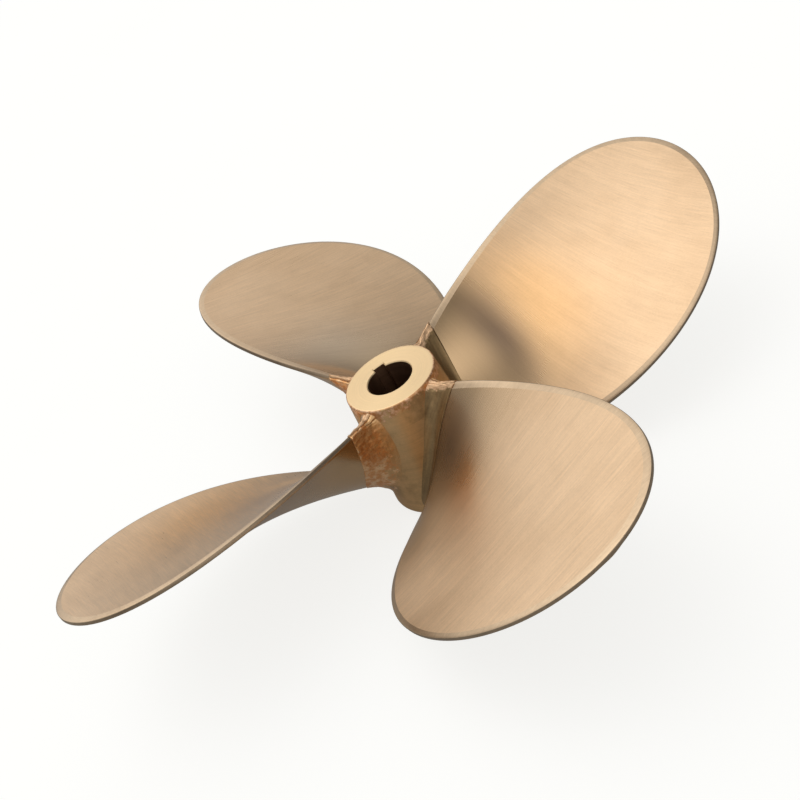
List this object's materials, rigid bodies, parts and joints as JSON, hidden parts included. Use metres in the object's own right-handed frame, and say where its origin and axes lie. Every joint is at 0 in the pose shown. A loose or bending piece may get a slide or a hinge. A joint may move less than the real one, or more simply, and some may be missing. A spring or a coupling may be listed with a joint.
{
  "type": "boat propeller",
  "caption": "Right-handed bronze boat propeller: broad raked and skewed blades welded to a tapered hub with a keyed shaft bore.",
  "frame": {"origin": "centre of the hub's forward face, on the axis of the shaft bore", "axes": "+Z along the shaft bore from the forward face to the aft face; +X through the middle of the keyway; +Y completes the right-handed set"},
  "size_m": [0.5074, 0.5074, 0.11],
  "materials": {
    "hub_bronze": "turned and ground bronze, satin",
    "blade_bronze": "brushed bronze, satin, with a ground bevel along the rim",
    "face_weld": "ground bronze weld, satin",
    "back_weld": "rough copper-coloured weld"
  },
  "bodies": {
    "root": {"hub": "hub_bronze", "blade_1": "blade_bronze", "blade_2": "blade_bronze", "blade_3": "blade_bronze", "blade_4": "blade_bronze", "face_weld_1": "face_weld", "face_weld_2": "face_weld", "face_weld_3": "face_weld", "face_weld_4": "face_weld", "back_weld_1": "back_weld", "back_weld_2": "back_weld", "back_weld_3": "back_weld", "back_weld_4": "back_weld"}
  },
  "joints": []
}
